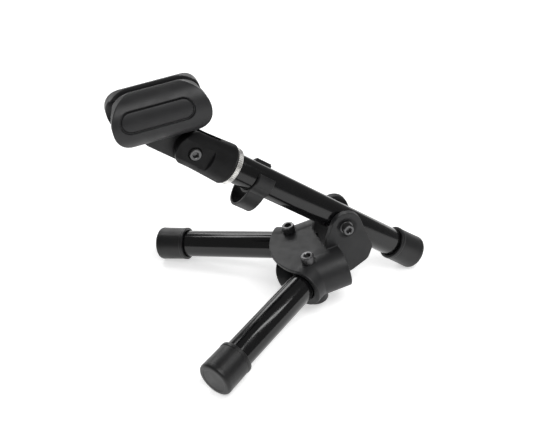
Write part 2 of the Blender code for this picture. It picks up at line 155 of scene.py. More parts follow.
def hub_lean(bolt_height):
    """Tilt of the hub that brings both leg caps down to the floor, found by halving."""
    reach = SCREW_FORWARD + LEG_REACH * math.cos(math.radians(LEG_SPREAD))
    low = 0.0
    high = math.radians(30.0)
    for _ in range(60):
        tilt = 0.5 * (low + high)
        slope = math.asin(math.sin(tilt) * math.cos(math.radians(LEG_SPREAD)))
        tip = bolt_height - BOLT_RISE * math.cos(tilt) - reach * math.sin(tilt)
        if tip > foot_drop(slope):
            low = tilt
        else:
            high = tilt
    return low


def leaning_frame(x, z, angle):
    turn = Matrix.Rotation(math.pi, 4, 'Z') @ Matrix.Rotation(angle, 4, 'Y')
    return Matrix.Translation((x, 0.0, z)) @ turn


def shifted(base, x, y, z, turn=0.0):
    return base @ Matrix.Translation((x, y, z)) @ Matrix.Rotation(turn, 4, 'Z')


INCLINE = math.radians(BOOM_INCLINE)
SPREAD = math.radians(LEG_SPREAD)
BOLT_Z = BOOM_REAR * math.sin(INCLINE) + foot_drop(INCLINE)
LEAN = hub_lean(BOLT_Z)
HUB_X = BOLT_X + BOLT_RISE * math.sin(LEAN)
HUB_Z = BOLT_Z - BOLT_RISE * math.cos(LEAN)
HUB = leaning_frame(HUB_X, HUB_Z, LEAN)
BOOM = leaning_frame(BOLT_X, BOLT_Z, -INCLINE)
HEAD = shifted(BOOM, PIVOT, 0.0, 0.0)
PIVOT_X = BOLT_X - PIVOT * math.cos(INCLINE)
PIVOT_Z = BOLT_Z + PIVOT * math.sin(INCLINE)
CLIP = leaning_frame(PIVOT_X, PIVOT_Z, math.radians(CLIP_PITCH))
SIDES = {'left': 1.0, 'right': -1.0}


# ---------------------------------------------------------------- outlines

def arc(cx, cy, radius, start, end, steps):
    points = []
    for index in range(steps + 1):
        angle = math.radians(start + (end - start) * index / steps)
        points.append((cx + radius * math.cos(angle), cy + radius * math.sin(angle)))
    return points


def fillet(before, corner, after, radius, steps):
    """Arc that rounds one corner."""
    before = Vector(before[:2])
    corner = Vector(corner[:2])
    after = Vector(after[:2])
    back = (before - corner).normalized()
    ahead = (after - corner).normalized()
    half = 0.5 * math.acos(max(-1.0, min(1.0, back.dot(ahead))))
    reach = radius / math.tan(half)
    centre = corner + (back + ahead).normalized() * (radius / math.sin(half))
    first = corner + back * reach - centre
    last = corner + ahead * reach - centre
    start = math.atan2(first.y, first.x)
    sweep = (math.atan2(last.y, last.x) - start + math.pi) % (2.0 * math.pi) - math.pi
    points = []
    for step in range(steps + 1):
        angle = start + sweep * step / steps
        points.append((centre.x + radius * math.cos(angle), centre.y + radius * math.sin(angle)))
    return points


def rounded(corners, steps=6):
    """Closed outline from (x, y, radius) corners."""
    outline = []
    count = len(corners)
    for index, corner in enumerate(corners):
        if corner[2] == 0.0:
            outline.append(tuple(corner[:2]))
        else:
            after = corners[(index + 1) % count]
            outline += fillet(corners[index - 1], corner, after, corner[2], steps)
    return outline


def softened(corners, steps=5):
    """Open profile from (position, radius, fillet) corners; both ends stay as they are."""
    profile = [tuple(corners[0][:2])]
    for index in range(1, len(corners) - 1):
        corner = corners[index]
        if corner[2] == 0.0:
            profile.append(tuple(corner[:2]))
        else:
            profile += fillet(corners[index - 1], corner, corners[index + 1], corner[2], steps)
    profile.append(tuple(corners[-1][:2]))
    return profile


def smooth_path(points, steps):
    """Curve through every point (Catmull-Rom)."""
    path = []
    ends = [points[0]] + list(points) + [points[-1]]
    for index in range(1, len(ends) - 2):
        a, b, c, d = (Vector(ends[index + k]) for k in (-1, 0, 1, 2))
        for step in range(steps):
            t = step / steps
            point = 0.5 * ((2 * b) + (c - a) * t + (2 * a - 5 * b + 4 * c - d) * t * t
                           + (3 * b - a - 3 * c + d) * t ** 3)
            path.append(tuple(point))
    path.append(tuple(points[-1]))
    return path


def strip(path, half):
    """Outline of a band that follows an open path, half its thickness to either side."""
    left = []
    right = []
    for index, point in enumerate(path):
        ahead = Vector(path[min(index + 1, len(path) - 1)]) - Vector(path[max(index - 1, 0)])
        side = Vector((-ahead.y, ahead.x)).normalized() * half
        left.append((point[0] + side.x, point[1] + side.y))
        right.append((point[0] - side.x, point[1] - side.y))
    return left + right[::-1]


def hexagon(flats, cx=0.0, cy=0.0):
    return arc(cx, cy, flats / math.sqrt(3.0), 0.0, 300.0, 5)


def stadium(cx, cy, length, height):
    radius = 0.5 * height
    half = 0.5 * length - radius
    right = arc(cx + half, cy, radius, -90.0, 90.0, 24)
    return right + arc(cx - half, cy, radius, 90.0, 270.0, 24)


# ------------------------------------------------------------------ solids

def solid(vertices, faces):
    mesh = bpy.data.meshes.new('solid')
    shape = bmesh.new()
    made = [shape.verts.new(vertex) for vertex in vertices]
    for face in faces:
        shape.faces.new([made[index] for index in face])
    bmesh.ops.recalc_face_normals(shape, faces=shape.faces)
    shape.to_mesh(mesh)
    shape.free()
    body = bpy.data.objects.new('solid', mesh)
    bpy.context.scene.collection.objects.link(body)
    return body


def placed(a, b, h, along):
    """Point (a, b) of a section at height h along the named axis."""
    if along == 'x':
        return (h, a, b)
    if along == 'y':
        return (a, h, b)
    return (a, b, h)


def prism(outline, low, high, along='z'):
    count = len(outline)
    vertices = [placed(a, b, low, along) for a, b in outline]
    vertices += [placed(a, b, high, along) for a, b in outline]
    faces = [list(range(count)), list(range(2 * count - 1, count - 1, -1))]
    for index in range(count):
        after = (index + 1) % count
        faces.append([index, after, count + after, count + index])
    return solid(vertices, faces)


def block(low, high):
    outline = [(low[0], low[1]), (high[0], low[1]), (high[0], high[1]), (low[0], high[1])]
    return prism(outline, low[2], high[2], 'z')


def turned(profile, along='x', centre=(0.0, 0.0), segments=96, phase=0.0, teeth=None):
    """Solid of revolution; teeth = (low, high, least radius, depth) knurls that band."""
    ring_count = len(profile)
    starts = []
    vertices = []
    for position, radius in profile:
        starts.append(len(vertices))
        if radius == 0.0:
            vertices.append(placed(centre[0], centre[1], position, along))
            continue
        for index in range(segments):
            reach = radius
            if teeth and teeth[0] <= position <= teeth[1] and radius >= teeth[2] and index % 4 > 1:
                reach = radius - teeth[3]
            angle = 2.0 * math.pi * (index + phase) / segments
            a = centre[0] + reach * math.cos(angle)
            b = centre[1] + reach * math.sin(angle)
            vertices.append(placed(a, b, position, along))
    on_axis = profile[0][1] == 0.0 and profile[-1][1] == 0.0
    faces = []
    for ring in range(ring_count - 1 if on_axis else ring_count):
        after = (ring + 1) % ring_count
        for index in range(segments):
            step = (index + 1) % segments
            face = []
            if profile[ring][1] == 0.0:
                face.append(starts[ring])
            else:
                face += [starts[ring] + index, starts[ring] + step]
            if profile[after][1] == 0.0:
                face.append(starts[after])
            else:
                face += [starts[after] + step, starts[after] + index]
            faces.append(face)
    return solid(vertices, faces)


def rod(radius, low, high, along='x', centre=(0.0, 0.0), segments=96, phase=0.0):
    profile = [(low, 0.0), (low, radius), (high, radius), (high, 0.0)]
    return turned(profile, along, centre, segments, phase)


def drill(radius, low, high, along, centre=(0.0, 0.0), segments=64):
    return rod(radius, low, high, along, centre, segments, 0.31)


def sleeve(outer, inner, low, high, edge, along='x', segments=96):
    """Tube with rounded edges."""
    corners = [(low, inner, edge), (low, outer, edge), (high, outer, edge), (high, inner, edge)]
    return turned(rounded(corners, 3), along, (0.0, 0.0), segments)


def apply_modifiers(body):
    bpy.context.view_layer.update()
    graph = bpy.context.evaluated_depsgraph_get()
    result = bpy.data.meshes.new_from_object(body.evaluated_get(graph))
    body.modifiers.clear()
    body.data = result
    return body


def carve(body, operation, tool):
    modifier = body.modifiers.new(operation.lower(), 'BOOLEAN')
    modifier.operation = operation
    modifier.solver = 'EXACT'
    modifier.object = tool
    apply_modifiers(body)
    bpy.data.objects.remove(tool, do_unlink=True)
    return body


def cut(body, *tools):
    for tool in tools:
        carve(body, 'DIFFERENCE', tool)
    return body


def add(body, *tools):
    for tool in tools:
        carve(body, 'UNION', tool)
    return body


def keep(body, tool):
    return carve(body, 'INTERSECT', tool)


def mould(body, grid, passes):
    """Rebuilds the body on a fine even grid and eases every edge, as a moulding has."""
    remesh = body.modifiers.new('grid', 'REMESH')
    remesh.mode = 'VOXEL'
    remesh.voxel_size = grid
    ease = body.modifiers.new('ease', 'SMOOTH')
    ease.factor = 0.5
    ease.iterations = passes
    return apply_modifiers(body)


def turn_about_z(body, angle, x, y):
    body.data.transform(Matrix.Translation((x, y, 0.0)) @ Matrix.Rotation(angle, 4, 'Z'))
    return body


def finish(body, name, place, material, slot, rides_on, *nodes, sharp=None):
    """Names, shades and places a finished piece, hangs it on its body and hides the parts it
    stands in for.
    """
    body.data.transform(Matrix.Scale(MM, 4))
    body.name = name
    body.data.name = name
    body.data.materials.clear()
    body.data.materials.append(material)
    body.data.shade_smooth()
    if sharp:
        body.data.set_sharp_from_angle(angle=math.radians(sharp))
    body.matrix_world = Matrix.Translation((MM - 1.0) * place.to_translation()) @ place
    bpy.context.view_layer.update()
    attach(body, rides_on)
    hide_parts(*nodes)
    return body


# --------------------------------------------------------------- materials

class Look:
    """A procedural material: clouds of colour and roughness and a fine bump, in object space."""

    def __init__(self, name, dark, light, rough, metallic=0.0, specular=0.5):
        self.material = bpy.data.materials.new(name)
        self.material.use_nodes = True
        self.nodes = self.material.node_tree.nodes
        self.links = self.material.node_tree.links
        self.shader = self.nodes['Principled BSDF']
        self.shader.inputs['Metallic'].default_value = metallic
        self.shader.inputs['Specular IOR Level'].default_value = specular
        self.coordinates = self.nodes.new('ShaderNodeTexCoord')
        self.normal = None
        self.colour(dark, light, 55.0)
        self.roughness(rough[0], rough[1], 140.0)

    def noise(self, scale, detail=4.0, stretch=(1.0, 1.0, 1.0)):
        mapping = self.nodes.new('ShaderNodeMapping')
        mapping.inputs['Scale'].default_value = stretch
        self.links.new(self.coordinates.outputs['Object'], mapping.inputs['Vector'])
        texture = self.nodes.new('ShaderNodeTexNoise')
        texture.inputs['Scale'].default_value = scale
        texture.inputs['Detail'].default_value = detail
        self.links.new(mapping.outputs['Vector'], texture.inputs['Vector'])
        return texture.outputs['Fac']

    def ramp(self, source, low, high, dark, light):
        ramp = self.nodes.new('ShaderNodeValToRGB')
        ramp.color_ramp.elements[0].position = low
        ramp.color_ramp.elements[1].position = high
        ramp.color_ramp.elements[0].color = (*dark, 1.0)
        ramp.color_ramp.elements[1].color = (*light, 1.0)
        self.links.new(source, ramp.inputs['Fac'])
        return ramp.outputs['Color']

    def colour(self, dark, light, scale):
        clouds = self.ramp(self.noise(scale, 6.0), 0.3, 0.7, dark, light)
        self.links.new(clouds, self.shader.inputs['Base Color'])

    def roughness(self, low, high, scale):
        span = self.nodes.new('ShaderNodeMapRange')
        span.inputs['From Min'].default_value = 0.3
        span.inputs['From Max'].default_value = 0.7
        span.inputs['To Min'].default_value = low
        span.inputs['To Max'].default_value = high
        self.links.new(self.noise(scale, 5.0), span.inputs['Value'])
        self.links.new(span.outputs['Result'], self.shader.inputs['Roughness'])

    def bump(self, height, strength, distance):
        node = self.nodes.new('ShaderNodeBump')
        node.inputs['Strength'].default_value = strength
        node.inputs['Distance'].default_value = distance
        self.links.new(height, node.inputs['Height'])
        if self.normal:
            self.links.new(self.normal, node.inputs['Normal'])
        self.normal = node.outputs['Normal']
        self.links.new(self.normal, self.shader.inputs['Normal'])
        return self


def make_looks():
    looks = {}
    hub = Look('moulded_hub', (0.0125, 0.0127, 0.0135), (0.0185, 0.0187, 0.0195),
               (0.42, 0.54), 0.0, 0.36)
    hub.bump(hub.noise(2600.0, 3.0), 0.30, 0.00005)
    hub.bump(hub.noise(240.0, 2.0), 0.10, 0.00012)
    looks['moulding'] = hub.material
    paint = Look('gloss_black_coat', (0.0030, 0.0030, 0.0033), (0.0045, 0.0045, 0.0048),
                 (0.11, 0.17), 0.0, 0.48)
    paint.bump(paint.noise(300.0, 2.0), 0.04, 0.00005)
    looks['paint'] = paint.material
    rubber = Look('cap_rubber', (0.0065, 0.0065, 0.0070), (0.0110, 0.0110, 0.0114),
                  (0.34, 0.46), 0.0, 0.42)
    rubber.bump(rubber.noise(1900.0, 4.0), 0.22, 0.00005)
    rubber.bump(rubber.noise(160.0, 2.0), 0.12, 0.00015)
    looks['rubber'] = rubber.material
    clip = Look('clip_rubber_satin', (0.0115, 0.0115, 0.0125), (0.0175, 0.0175, 0.0185),
                (0.38, 0.50), 0.0, 0.38)
    clip.bump(clip.noise(2200.0, 3.0), 0.16, 0.00005)
    clip.bump(clip.noise(130.0, 2.0), 0.08, 0.0002)
    looks['clip_rubber'] = clip.material
    plastic = Look('knuckle_plastic', (0.0022, 0.0022, 0.0025), (0.0062, 0.0062, 0.0066),
                   (0.40, 0.62), 0.0, 0.19)
    plastic.bump(plastic.noise(1500.0, 4.0), 0.40, 0.00008)
    looks['plastic'] = plastic.material
    nylon = Look('clip_nylon', (0.0080, 0.0080, 0.0086), (0.0120, 0.0120, 0.0128),
                 (0.32, 0.44), 0.0, 0.38)
    nylon.bump(nylon.noise(1500.0, 2.0), 0.10, 0.00005)
    looks['nylon'] = nylon.material
    steel = Look('black_oxide', (0.085, 0.085, 0.088), (0.150, 0.149, 0.150), (0.24, 0.38), 0.85)
    steel.bump(steel.noise(1600.0, 3.0), 0.15, 0.00003)
    looks['steel'] = steel.material
    zinc = Look('bright_zinc_plate', (0.62, 0.61, 0.59), (0.84, 0.83, 0.81), (0.22, 0.38), 1.0)
    zinc.bump(zinc.noise(900.0, 4.0, (14.0, 1.0, 1.0)), 0.20, 0.00004)
    looks['zinc'] = zinc.material
    brass = Look('turned_brass', (0.50, 0.37, 0.15), (0.66, 0.50, 0.22), (0.22, 0.36), 1.0)
    brass.bump(brass.noise(700.0, 3.0, (16.0, 1.0, 1.0)), 0.20, 0.00004)
    looks['brass'] = brass.material
    return looks


# --------------------------------------------------------------------- hub

def beside_leg(along, out):
    x = SCREW_FORWARD + along * math.cos(SPREAD) - out * math.sin(SPREAD)
    y = SCREW_SIDE + along * math.sin(SPREAD) + out * math.cos(SPREAD)
    return (x, y)


def plate_outline():
    """Plate with one wide arc at the front, from one leg's collar to the other's."""
    edge = COLLAR_LENGTH - 0.15
    corner = beside_leg(edge, -3.4)
    chord = PLATE_FRONT ** 2 - corner[0] ** 2 - corner[1] ** 2
    centre = chord / (2.0 * (PLATE_FRONT - corner[0]))
    half = math.degrees(math.atan2(corner[1], corner[0] - centre))
    front = arc(centre, 0.0, PLATE_FRONT - centre, -half, half, 60)
    side = SCREW_SIDE + 0.37
    left = [beside_leg(edge, 0.4), (SCREW_FORWARD, side), (ROLL_REAR + 0.2, side)]
    right = [(x, -y) for x, y in left[::-1]]
    return front + left + right


def ear_outline():
    top = arc(0.0, BOLT_RISE, EAR_R, 25.0, 164.5, 44)
    front = [(20.3, 12.4, 0.0), (18.9, 14.0, 0.0), (17.1, 21.4, 6.0)]
    rear = [(-17.9, 1.6, 6.0), (-12.4, -8.4, 8.0), (3.6, -14.6, 6.0), (14.0, -12.4, 0.0),
            (20.3, -12.4, 0.0)]
    corners = front + [(x, z, 0.0) for x, z in top] + rear
    return rounded(corners, 10)


def roll(side, radius, low, high, height):
    """Side wall behind a leg screw, rolled round the leg's rear end."""
    return rod(radius, low, high, 'x', (side * SCREW_SIDE, height), 132)


def collar(side, radius, low, high, height):
    """Side wall in front of a leg screw, open towards the other leg."""
    section = arc(0.0, height, radius, -127.0, 101.5, 75)
    section += [(-2.9, 0.0), (-9.0, height - 0.6 * radius)]
    body = prism([(side * y, z) for y, z in section], low, high, 'x')
    return turn_about_z(body, side * SPREAD, SCREW_FORWARD, side * SCREW_SIDE)


def gap_outline():
    """Room between the plates that the folding legs sweep."""
    far = 45.0
    side = SCREW_SIDE - 0.43
    out = (SCREW_FORWARD + far * math.cos(SPREAD), side + far * math.sin(SPREAD))
    left = [(17.0, side), (SCREW_FORWARD, side), out]
    right = [(x, -y) for x, y in left[::-1]]
    return left + right


def make_hub(looks):
    body = prism(plate_outline(), -PLATE_TOP, PLATE_TOP)
    for side in SIDES.values():
        inner = side * (SLOT_HALF - 1.0)
        outer = side * EAR_OUT
        add(body, roll(side, ROLL_R, ROLL_REAR, SCREW_FORWARD + 0.9, ROLL_LOW))
        add(body, collar(side, ROLL_R, -1.3, COLLAR_LENGTH, ROLL_LOW))
        add(body, prism(ear_outline(), min(inner, outer), max(inner, outer), 'y'))
        centre = (SCREW_FORWARD, side * SCREW_SIDE)
        add(body, rod(BOSS_R, BOSS_LOW, -12.5, 'z', centre, 96, 0.17))
    cut(body, block((-60.0, -SLOT_HALF, -60.0), (PLATE_REAR, SLOT_HALF, 60.0)))
    cut(body, prism(gap_outline(), -GAP_HALF, GAP_HALF))
    for side in SIDES.values():
        centre = (SCREW_FORWARD, side * SCREW_SIDE)
        cut(body, roll(side, BORE_R, 17.6, SCREW_FORWARD + 2.5, 0.0))
        cut(body, collar(side, BORE_R, -2.5, COLLAR_LENGTH + 8.0, 0.0))
        cut(body, drill(M6_HOLE_R, -THROUGH, THROUGH, 'z', centre))
        cut(body, drill(6.2, PLATE_TOP - 0.1, 24.0, 'z', centre, 64))
        cut(body, prism(hexagon(M6_POCKET_FLATS, *centre), -THROUGH, -16.0))
    cut(body, drill(M5_HOLE_R, -40.0, 40.0, 'y', (0.0, BOLT_RISE)))
    dish = [(15.0, 0.0), (15.0, 5.6), (16.5, 8.6), (18.0, 8.6), (18.0, 0.0)]
    cut(body, turned(dish, 'y', (0.0, BOLT_RISE), 96, 0.43))
    cut(body, prism(hexagon(M5_POCKET_FLATS, 0.0, BOLT_RISE), -THROUGH, -13.4, 'y'))
    mould(body, HUB_GRID, 5)
    finish(body, 'hub_moulding', HUB, looks['moulding'], 'moulding', 'hub', 'hub_body')


# -------------------------------------------------------------------- legs

def cap_profile(reach):
    """Rubber cap: rim band at the mouth, plain barrel, soft shoulder and a crowned end."""
    mouth = reach - CAP_LENGTH
    inner = reach - CAP_END_WALL
    inside = [(inner, 0.0, 0.0), (inner, CAP_BORE_R, 0.0), (mouth, CAP_BORE_R, 0.25)]
    rim = [(mouth, CAP_R - 0.12, 0.5), (mouth + 2.6, CAP_R - 0.05, 0.35)]
    barrel = [(mouth + 3.1, CAP_R - 0.38, 0.25), (mouth + 6.0, CAP_R - 0.3, 2.0),
              (reach - 4.4, CAP_R - 0.1, 1.0), (reach - 3.6, CAP_R - 0.02, 0.3)]
    end = [(reach, CAP_R, CAP_SHOULDER_R), (reach, 9.6, 0.3), (reach - 0.25, 9.2, 0.3),
           (reach - 0.05, 0.0, 0.0)]
    corners = inside + rim + barrel + end
    return softened(corners, 6)


def rest_on_floor(body, place):
    """Flattens the rubber where it would sink below the floor."""
    clearance = 0.02
    inverse = place.inverted()
    for vertex in body.data.vertices:
        point = place @ vertex.co
        if point.z < clearance:
            point.z = clearance
            vertex.co = inverse @ point
    return body


def socket_screw(head_r, head_low, head_high, shank_r, tip, flats, depth, along):
    """Cap screw: knurled round head, chamfered, with a hexagon socket, on a plain shank."""
    shank = [(tip, 0.0, 0.0), (tip, shank_r - 0.4, 0.0), (tip + 0.4, shank_r, 0.0),
             (head_low, shank_r, 0.0)]
    head = [(head_low, head_r - 0.1, 0.15), (head_low + 0.5, head_r, 0.0),
            (head_high - 0.9, head_r, 0.0), (head_high - 0.65, head_r - 0.12, 0.1),
            (head_high, head_r - 0.45, 0.3), (head_high, 0.0, 0.0)]
    corners = shank + head
    band = (head_low + 0.4, head_high - 0.8, head_r - 0.01, 0.16)
    body = turned(softened(corners, 4), along, (0.0, 0.0), 160, 0.0, band)
    cut(body, prism(hexagon(flats), head_high - depth, head_high + 4.0, along))
    wide = flats * 0.5 + 0.85
    funnel = [(head_high - 0.45, 0.0), (head_high - 0.45, flats * 0.5), (head_high + 0.3, wide),
              (head_high + 1.0, wide), (head_high + 1.0, 0.0)]
    cut(body, turned(funnel, along, (0.0, 0.0), 48, 0.37))
    return body


def hex_nut(flats, low, high, bore, along):
    """Nut with both faces chamfered towards the corners."""
    body = prism(hexagon(flats), low, high, along)
    reach = flats / math.sqrt(3.0)
    slope = (reach - flats * 0.5) * 0.6
    clear = reach + 0.05
    barrel = [(low, 0.0), (low, flats * 0.5), (low + slope, clear), (high - slope, clear),
              (high, flats * 0.5), (high, 0.0)]
    offset = 0.003
    barrel = [(position + (offset if radius else 0.0), radius) for position, radius in barrel]
    keep(body, turned(barrel, along, (0.0, 0.0), 72, 0.23))
    cut(body, drill(bore, low - 5.0, high + 5.0, along))
    return body


def make_leg(side_name, looks):
    side = SIDES[side_name]
    place = shifted(HUB, SCREW_FORWARD, side * SCREW_SIDE, 0.0, side * SPREAD)
    upright = shifted(HUB, SCREW_FORWARD, side * SCREW_SIDE, 0.0)
    body = side_name + '_leg'
    tube_end = LEG_REACH - CAP_END_WALL - 0.3
    tube = sleeve(TUBE_R, TUBE_BORE_R, -LEG_BEHIND, tube_end, 0.35, 'x', 128)
    cut(tube, drill(M6_HOLE_R, -20.0, 20.0, 'z'))
    finish(tube, 'leg_pipe_' + side_name, place, looks['paint'], 'paint', body,
           'leg_tube_' + side_name, sharp=40)
    cap = turned(cap_profile(LEG_REACH), 'x', (0.0, 0.0), 144)
    rest_on_floor(cap, place)
    finish(cap, 'leg_foot_' + side_name, place, looks['rubber'], 'rubber', body,
           'leg_cap_' + side_name, sharp=60)
    screw = socket_screw(M6_HEAD_R, 14.2, 20.2, M6_R, -20.5, M6_KEY, 3.0, 'z')
    finish(screw, 'leg_socket_screw_' + side_name, upright, looks['steel'], 'steel', 'hub',
           'leg_screw_' + side_name, sharp=30)
    nut = hex_nut(M6_NUT_FLATS, -20.6, -16.3, M6_HOLE_R, 'z')
    finish(nut, 'leg_hex_nut_' + side_name, upright, looks['steel'], 'steel', 'hub',
           'leg_nut_' + side_name, sharp=20)


# -------------------------------------------------------------------- boom

def make_boom(looks):
    tube_end = CAP_END_WALL + 0.3 - BOOM_REAR
    tube = sleeve(TUBE_R, TUBE_BORE_R, tube_end, BOOM_FRONT, 0.35, 'x', 128)
    cut(tube, drill(M5_HOLE_R, -20.0, 20.0, 'y'))
    finish(tube, 'boom_pipe', BOOM, looks['paint'], 'paint', 'boom', 'boom_tube', sharp=40)
    profile = [(-position, radius) for position, radius in cap_profile(BOOM_REAR)]
    cap = turned(profile, 'x', (0.0, 0.0), 144)
    rest_on_floor(cap, BOOM)
    finish(cap, 'boom_foot', BOOM, looks['rubber'], 'rubber', 'boom', 'boom_cap', sharp=60)
    bolt = socket_screw(M5_HEAD_R, 16.4, 21.1, M5_R, -17.6, M5_KEY, 2.5, 'y')
    finish(bolt, 'boom_socket_bolt', BOOM, looks['steel'], 'steel', 'hub', 'boom_bolt', sharp=30)
    washer = sleeve(5.0, M5_HOLE_R, 15.3, 16.1, 0.2, 'y', 72)
    finish(washer, 'boom_flat_washer', BOOM, looks['steel'], 'steel', 'hub', 'boom_washer',
           sharp=40)
    nut = hex_nut(M5_NUT_FLATS, -17.7, -13.7, M5_HOLE_R, 'y')
    finish(nut, 'boom_hex_nut', shifted(HUB, 0.0, 0.0, BOLT_RISE), looks['steel'], 'steel', 'hub',
           'boom_nut', sharp=20)
    spacer = sleeve(4.0, M5_HOLE_R, -8.6, 8.6, 0.2, 'y', 64)
    finish(spacer, 'boom_spacer', BOOM, looks['steel'], 'steel', 'boom', 'boom_sleeve', sharp=40)
    thread = [(78.0, 0.0, 0.0), (78.0, 9.5, 0.5), (99.9, 9.5, 0.2), (99.9, 7.2, 0.0)]
    position = THREAD_START
    while position < THREAD_END:
        thread += [(position, THREAD_ROOT_R, 0.0),
                   (position + 0.5 * THREAD_PITCH, THREAD_CREST_R, 0.0)]
        position += THREAD_PITCH
    thread += [(116.5, 7.0, 0.3), (116.5, 0.0, 0.0)]
    stud = turned(softened(thread, 3), 'x', (0.0, 0.0), 96)
    finish(stud, 'boom_thread_stud', BOOM, looks['zinc'], 'zinc', 'boom', 'thread_stud', sharp=40)


def make_cable_clip(looks):
    """Snap band with a thicker tab and the loop that holds the cable."""
    band = arc(0.0, 0.0, 13.1, 34.0, -240.0, 113) + arc(0.0, 0.0, 11.3, -240.0, 34.0, 113)
    body = prism(band, CABLE_LOW, CABLE_HIGH, 'x')
    pad = arc(0.0, 0.0, 13.9, 33.0, -3.0, 16) + arc(0.0, 0.0, 12.0, -3.0, 33.0, 16)
    add(body, prism(pad, CABLE_LOW + 0.4, CABLE_HIGH - 0.4, 'x'))
    lip = arc(0.0, 0.0, 14.2, -213.0, -239.0, 16) + arc(0.0, 0.0, 12.0, -239.0, -213.0, 16)
    add(body, prism(lip, CABLE_LOW + 0.6, CABLE_HIGH - 0.6, 'x'))
    knots = [(9.3, -7.4), (8.9, -12.6), (6.4, -19.5), (1.6, -24.4), (-3.6, -25.4), (-9.0, -23.5),
             (-13.3, -17.4), (-14.3, -10.0), (-12.0, -2.4)]
    add(body, prism(strip(smooth_path(knots, 10), 0.85), CABLE_LOW + 0.2, CABLE_HIGH - 0.2, 'x'))
    mould(body, CABLE_GRID, 4)
    finish(body, 'cable_holder', BOOM, looks['nylon'], 'nylon', 'cable_holder', 'cable_clip')


# -------------------------------------------------------------------- head

def make_head(looks):
    rim = RING_R - 0.35
    corners = [(RING_LOW, THREAD_BORE_R, 0.2), (RING_LOW, rim, 0.25),
               (RING_LOW + 0.45, RING_R, 0.0), (RING_HIGH - 0.45, RING_R, 0.0),
               (RING_HIGH, rim, 0.25), (RING_HIGH, THREAD_BORE_R, 0.2)]
    band = (RING_LOW + 0.4, RING_HIGH - 0.4, RING_R - 0.01, 0.6)
    ring = turned(rounded(corners, 3), 'x', (0.0, 0.0), 216, 0.0, band)
    finish(ring, 'knurled_lock_ring', BOOM, looks['zinc'], 'zinc', 'ring', 'lock_ring', sharp=30)
    skin = [(KNUCKLE_LOW, 0.0), (KNUCKLE_LOW, 13.3), (105.9, 14.4), (107.3, 15.1), (110.5, 14.9),
            (121.0, 14.2), (132.0, 13.62), (152.0, 13.62), (152.0, 0.0)]
    profile = [(along - PIVOT, radius) for along, radius in skin]
    body = turned(profile, 'x', (0.0, 0.0), 128, 0.19)
    side_view = arc(0.0, 0.0, FORK_R, 78.0, -78.0, 48) + [(-45.0, -20.0), (-45.0, 20.0)]
    keep(body, prism(side_view, -THROUGH, THROUGH, 'y'))
    for side in SIDES.values():
        cheek = [(-15.0, side * 20.0), (-12.2, side * CHEEK), (THROUGH, side * CHEEK),
                 (THROUGH, side * 20.0)]
        cut(body, prism(cheek, -THROUGH, THROUGH))
    cut(body, block((-16.0, -FORK_SLOT, -THROUGH), (THROUGH, FORK_SLOT, THROUGH)))
    cut(body, drill(9.3, KNUCKLE_LOW - PIVOT - 5.0, 117.3 - PIVOT, 'x', (0.0, 0.0), 96))
    cut(body, drill(M5_HOLE_R, -THROUGH, THROUGH, 'y'))
    cut(body, drill(4.6, 8.1, THROUGH, 'y', (0.0, 0.0), 72))
    cut(body, prism(hexagon(M5_POCKET_FLATS), -THROUGH, -8.1, 'y'))
    mould(body, HEAD_GRID, 4)
    finish(body, 'knuckle_fork', HEAD, looks['plastic'], 'plastic', 'head', 'knuckle')
    insert = sleeve(9.0, THREAD_BORE_R, KNUCKLE_LOW + 0.3 - PIVOT, 117.0 - PIVOT, 0.2, 'x', 96)
    finish(insert, 'brass_thread_insert', HEAD, looks['brass'], 'brass', 'head',
           'thread_insert', sharp=40)
    screw = socket_screw(M5_HEAD_R, 8.4, 13.3, M5_R, -11.9, M5_KEY, 2.5, 'y')
    finish(screw, 'knuckle_socket_screw', HEAD, looks['steel'], 'steel', 'head',
           'knuckle_screw', sharp=30)
    nut = hex_nut(M5_NUT_FLATS, -12.4, -8.4, M5_HOLE_R, 'y')
    finish(nut, 'knuckle_hex_nut', HEAD, looks['steel'], 'steel', 'head', 'knuckle_nut', sharp=20)


